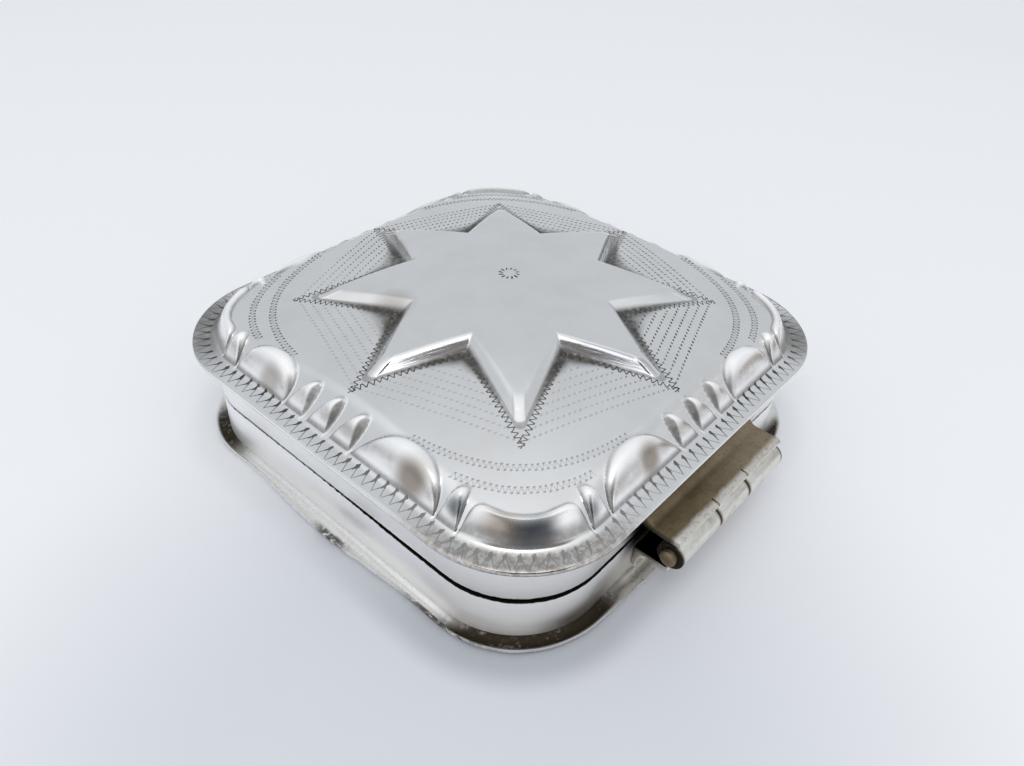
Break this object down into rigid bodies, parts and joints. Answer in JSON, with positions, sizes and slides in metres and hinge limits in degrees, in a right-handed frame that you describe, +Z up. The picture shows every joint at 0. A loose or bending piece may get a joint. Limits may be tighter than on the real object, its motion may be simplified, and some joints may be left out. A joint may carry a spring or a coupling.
{
  "type": "mint box",
  "caption": "Small rounded-square silver mint box with a domed lid, embossed with a star inside a gadrooned border, that swings open on a stand-away hinge.",
  "frame": {"origin": "middle of the flat underside, where the box stands", "axes": "+Z up through the lid, +Y towards the hinge at the back, +X to the right seen from the front"},
  "size_m": [0.0401, 0.0425, 0.0142],
  "materials": {
    "embossed_silver": "bright hand-burnished silver, dark in the engraved cuts",
    "sheet_silver": "satin silver with fine lengthwise polishing lines",
    "base_silver": "worn silver, brown-black tarnish in the crevice of the flange",
    "tarnished_silver": "tan-tarnished silver, brighter along its worn lip",
    "hinge_silver": "worn silver tube",
    "pin_metal": "brown-toned base-metal pin, rough at its ends"
  },
  "bodies": {
    "box": {"body_wall": "sheet_silver", "base_plate": "base_silver", "inner_bezel": "sheet_silver", "body_hinge_plate": "tarnished_silver", "body_knuckle_near": "hinge_silver", "body_knuckle_far": "hinge_silver", "hinge_pin": "pin_metal"},
    "lid": {"lid_top": "embossed_silver", "lid_band": "sheet_silver", "lid_hinge_plate": "tarnished_silver", "lid_knuckle": "hinge_silver"}
  },
  "joints": [
    {"name": "lid_hinge", "type": "hinge", "parent": "box", "child": "lid", "pos_m": [0, 0.0213, 0.00435], "axis": [-1, 0, 0], "range_deg": [0, 110]}
  ]
}
